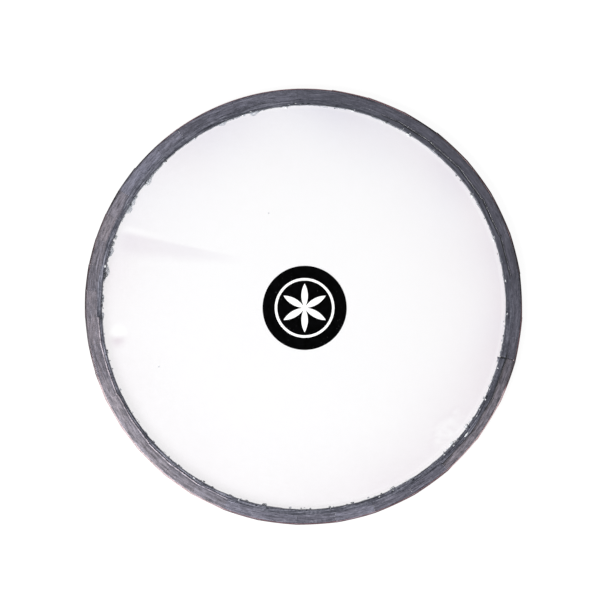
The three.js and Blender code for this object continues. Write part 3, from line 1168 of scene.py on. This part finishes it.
def scrap(angle, reach, random):
    """A thin, torn, roughly triangular scrap of film, from the bar's foot inwards."""
    base = hoop_inner(angle) + SCRAP_FOOTING
    half_base = reach * random.uniform(1.2, 2.0)
    lean = reach * random.uniform(-1.0, 1.0)
    half_tip = half_base * random.uniform(0.1, 0.35)
    outline = [(0, -half_base), (0.5, -half_base * 0.65), (1, -half_tip), (0.9, half_tip)]
    outline += [(0.6, half_base * 0.6), (0.3, half_base * 0.7), (0, half_base)]
    floor = FILM + SCRAP_LIFT
    vertices = []
    for height in (floor, floor + SCRAP_THICKNESS):
        for inward, side in outline:
            ragged = random.uniform(-0.08, 0.08) * reach
            radius = base - inward * reach + ragged
            turn = angle + (side + inward * lean) / base
            vertices.append(polar(radius, turn, height + SCRAP_CURL * inward * reach))
    count = len(outline)
    faces = [tuple(range(count)), tuple(range(2 * count - 1, count - 1, -1))]
    faces += [(a, d, c, b) for a, b, c, d in side_faces(0, count, count)]
    return vertices, faces


def add_scraps(heap, random):
    scraps = [(angle, random.uniform(1.4, 2.4)) for angle in BIG_SCRAPS]
    for _ in range(SMALL_SCRAPS):
        scraps.append((random.uniform(*SCRAP_ARC), random.uniform(0.5, 1.2)))
    for angle, reach in scraps:
        heap.add(*scrap(radians(angle), reach * MM, random), random.uniform(0.66, 0.8))


def build_bead(material):
    """The bead at the foot of the hoop's inner wall, with lumps of glue and film offcuts in it."""
    heap = Heap(*swept_ring(bead_section, GLUE_STATIONS))
    random = np.random.default_rng(RANDOM_SEED)
    add_lumps(heap, random)
    add_crumbs(heap)
    add_scraps(heap, random)
    shape = (heap.vertices, heap.faces)
    make_piece("inner_glue", "inner_glue_bead", "glue", *shape, material, {"tone": heap.tones})


# --- print

DISC_STEPS = 240
PETALS = 6
PETAL_STEPS = 28
HUB_RADIUS = 1.5 * MM
DOT_SPREAD = 0.1 * MM  # how far the ink ran past the CAD's dot
DOT_WAVER = 0.025 * MM
RING_WAVER = 0.02 * MM


def prism(outline, bottom, top):
    """A flat-topped body over an outline of points round the dot's centre, its top edge soft."""
    vertices, faces = [], []
    count = len(outline)
    soften = (top - bottom) / 2
    for inset, height in ((0, bottom), (0, top - soften), (soften, top)):
        for x, y in outline:
            inward = 1 - inset / hypot(x, y)
            vertices.append((DOT_CENTRE.x + x * inward, DOT_CENTRE.y + y * inward, height))
    for level in range(2):
        faces += side_faces(level * count, (level + 1) * count, count)
    faces.append(tuple(range(count))[::-1])
    faces.append(tuple(range(2 * count, 3 * count)))
    return vertices, faces


def build_dot(material):
    angles = [TAU * i / DISC_STEPS for i in range(DISC_STEPS)]
    edge = DOT_RADIUS + DOT_SPREAD
    outline = [polar(edge + DOT_WAVER * wave(a, *DOT_WAVE), a, 0)[:2] for a in angles]
    shape = prism(outline, DOT_LOW.z, DOT_HIGH.z)
    make_piece("printed_dot", "centre_dot", "black_ink", *shape, material, smooth=False)


def build_ornament_ring(material):
    low, high = heights("ornament_ring")
    soft = (high - low) / 2

    def section(angle):
        waver = RING_WAVER * wave(angle, *RING_WAVE)
        inner = RING_INNER + waver
        outer = RING_OUTER - RING_WAVER + waver
        points = [(inner, low), (outer, low), (outer, high - soft), (outer - soft, high)]
        points += [(inner + soft, high), (inner, high - soft)]
        return [(*point, 0.0) for point in points]

    ring, _, faces = swept_ring(section, DISC_STEPS)
    shape = ([(DOT_CENTRE.x + x, DOT_CENTRE.y + y, z) for x, y, z in ring], faces)
    make_piece("printed_ring", "ornament_ring", "white_ink", *shape, material, smooth=False)


def rosette_outline():
    """Six leaves round a small hub. Each leaf lies between two arcs of the rosette's own radius."""
    outward = list(np.linspace(HUB_RADIUS, PETAL_LENGTH, PETAL_STEPS))
    points = []
    for k in range(PETALS):
        direction = TAU * k / PETALS + pi / 2
        for side, along in ((-1, outward), (1, outward[-2::-1])):
            for radius in along:
                lean = acos(radius / (2 * PETAL_LENGTH)) - TAU / 6
                points.append(polar(radius, direction + side * lean, 0)[:2])
    return points


def build_rosette(material):
    bottom, top = heights("ornament_rosette")
    shape = prism(rosette_outline(), bottom, top)
    make_piece("printed_rosette", "ornament_rosette", "white_ink", *shape, material, smooth=False)


# --- stage, light and camera

FLOOR_HALF = 6.0
FLOOR_HEIGHT = -0.2 * MM
FLOOR_COLOUR = (0.1, 0.1, 0.1, 1)
FLOOR_GLOW = 0.945
LIGHTS = (  # name, place, size in metres and power in watts
    ("key", (-0.5, -0.42, 0.62), 0.5, 15.0),
    ("fill", (0.5, 0.5, 0.9), 0.9, 0.6),
)
SKY_COLOUR = (0.95, 0.95, 1, 1)
SKY_STRENGTH = 0.25
CAMERA_HEIGHT = 1.5
SENSOR_WIDTH = 36  # millimetres
FIELD = 304 * MM
HEAD_OFFSET = Vector((1.85, -3.0)) * MM


def build_floor():
    """A plain white floor that glows a little, so that the light from one side leaves it even."""
    n = Nodes("floor")
    matt = n.add("BsdfDiffuse", {"Color": FLOOR_COLOUR}).outputs[0]
    glow = n.add("Emission", {"Strength": FLOOR_GLOW}).outputs[0]
    material = n.output(n.add("AddShader", {0: matt, 1: glow}).outputs[0])
    signs = [(-1, -1), (1, -1), (1, 1), (-1, 1)]
    corners = [(x * FLOOR_HALF, y * FLOOR_HALF, FLOOR_HEIGHT) for x, y in signs]
    make_object("floor", corners, [(0, 1, 2, 3)], material)


def area_light(name, place, size, power):
    data = bpy.data.lights.new(name, "AREA")
    data.size = size
    data.energy = power
    lamp = add_object(name, data)
    lamp.location = place
    lamp.rotation_euler = (-Vector(place)).to_track_quat("-Z", "Y").to_euler()


def build_light():
    for light in LIGHTS:
        area_light(*light)
    world = bpy.data.worlds.new("studio")
    world.use_nodes = True
    background = world.node_tree.nodes["Background"]
    background.inputs["Color"].default_value = SKY_COLOUR
    background.inputs["Strength"].default_value = SKY_STRENGTH
    scene.world = world


def build_camera():
    data = bpy.data.cameras.new("camera")
    data.sensor_width = SENSOR_WIDTH
    data.lens = SENSOR_WIDTH * (CAMERA_HEIGHT - HEAD_TOP) / FIELD
    camera = add_object("camera", data)
    camera.location = (-HEAD_OFFSET.x, -HEAD_OFFSET.y, CAMERA_HEIGHT)
    scene.camera = camera
    scene.view_settings.view_transform = "Standard"


def main():
    glue = tab_glue_material()
    white = ink("white_ink", *WHITE_INK, roughness=0.42)
    build_film(clear_film())
    build_hoop(hoop_metal())
    build_tab_glue(glue)
    build_hoop_glue(glue)
    build_bead(loose_glue_material())
    build_dot(ink("black_ink", *BLACK_INK, roughness=0.45))
    build_ornament_ring(white)
    build_rosette(white)
    build_floor()
    build_light()
    build_camera()


main()
